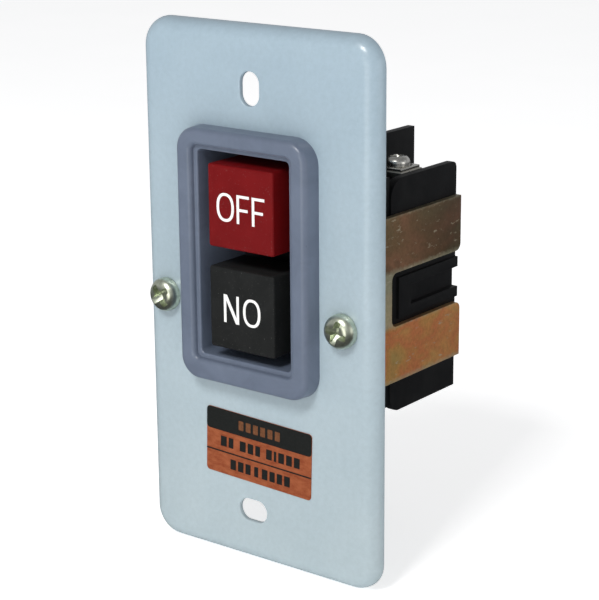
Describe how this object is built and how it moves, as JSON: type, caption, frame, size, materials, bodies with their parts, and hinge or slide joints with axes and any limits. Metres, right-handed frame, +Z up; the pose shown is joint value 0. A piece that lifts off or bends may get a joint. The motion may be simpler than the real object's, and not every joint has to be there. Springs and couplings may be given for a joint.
{
  "type": "motor starter",
  "caption": "Flush push-button motor starter: dished wall plate, raised bezel, OFF and ON buttons, and a three-pole contact block held behind the plate by steel brackets.",
  "frame": {"origin": "midway between the two fixing slots along Z and on the switch's centre line along X, in the plane where the plate's rim rests on the wall", "axes": "+Y into the wall, +Z up the plate, +X to the right as seen from in front"},
  "size_m": [0.0556, 0.0469, 0.106],
  "materials": {
    "plate_enamel": "semi-gloss enamel",
    "label_foil": "printed foil",
    "bezel_plastic": "satin moulded",
    "black_button": "satin moulded",
    "red_button": "satin moulded",
    "plunger_plastic": "moulded",
    "black_phenolic": "moulded",
    "yellow_zinc": "yellow passivated zinc",
    "nickel_brass": "nickel plated",
    "nickel_steel": "nickel plated",
    "silver": "contact face",
    "brass": "rolled strip",
    "carrier_plastic": "moulded",
    "bright_steel": "zinc plated",
    "spring_steel": "drawn wire",
    "screw_zinc": "yellow zinc plated"
  },
  "bodies": {
    "housing": {"face_plate": "plate_enamel", "rating_label": "label_foil", "bezel": "bezel_plastic", "mechanism_case": "black_phenolic", "contact_base": "black_phenolic", "bracket_right": "yellow_zinc", "bracket_left": "yellow_zinc", "line_conductors": "nickel_brass", "load_conductors": "nickel_brass", "line_contact_tips": "silver", "load_contact_tips": "silver", "line_wire_clamps": "nickel_steel", "load_wire_clamps": "nickel_steel", "line_terminal_screws": "nickel_steel", "load_terminal_screws": "nickel_steel", "on_return_spring": "spring_steel", "off_return_spring": "spring_steel", "latch_return_spring": "spring_steel", "plate_screws": "screw_zinc", "case_screws": "bright_steel"},
    "on_body": {"on_button": "black_button", "on_plunger": "plunger_plastic", "contact_carrier": "carrier_plastic", "contact_springs": "spring_steel"},
    "bridge_body": {"contact_bridges": "brass", "bridge_tips": "silver"},
    "off_body": {"off_button": "red_button", "off_plunger": "plunger_plastic"},
    "latch_body": {"latch_plate": "bright_steel"}
  },
  "joints": [
    {"name": "on_press", "type": "slide", "parent": "housing", "child": "on_body", "axis": [0, 1, 0], "range_m": [0, 0.004], "stiffness_N_per_m": 300, "springref_m": -0.004, "deforming": ["on_return_spring"]},
    {"name": "bridge_close", "type": "slide", "parent": "housing", "child": "bridge_body", "axis": [0, 1, 0], "range_m": [0, 0.003], "deforming": ["contact_springs"]},
    {"name": "off_press", "type": "slide", "parent": "housing", "child": "off_body", "axis": [0, 1, 0], "range_m": [0, 0.003], "stiffness_N_per_m": 300, "springref_m": -0.004, "deforming": ["off_return_spring"]},
    {"name": "latch_slide", "type": "slide", "parent": "housing", "child": "latch_body", "axis": [0, 0, -1], "range_m": [0, 0.002], "deforming": ["latch_return_spring"]}
  ],
  "couplings": [
    {"joint": "bridge_close", "follows": "on_press", "ratio": 0.7375},
    {"joint": "latch_slide", "follows": "off_press", "ratio": 0.6665}
  ]
}
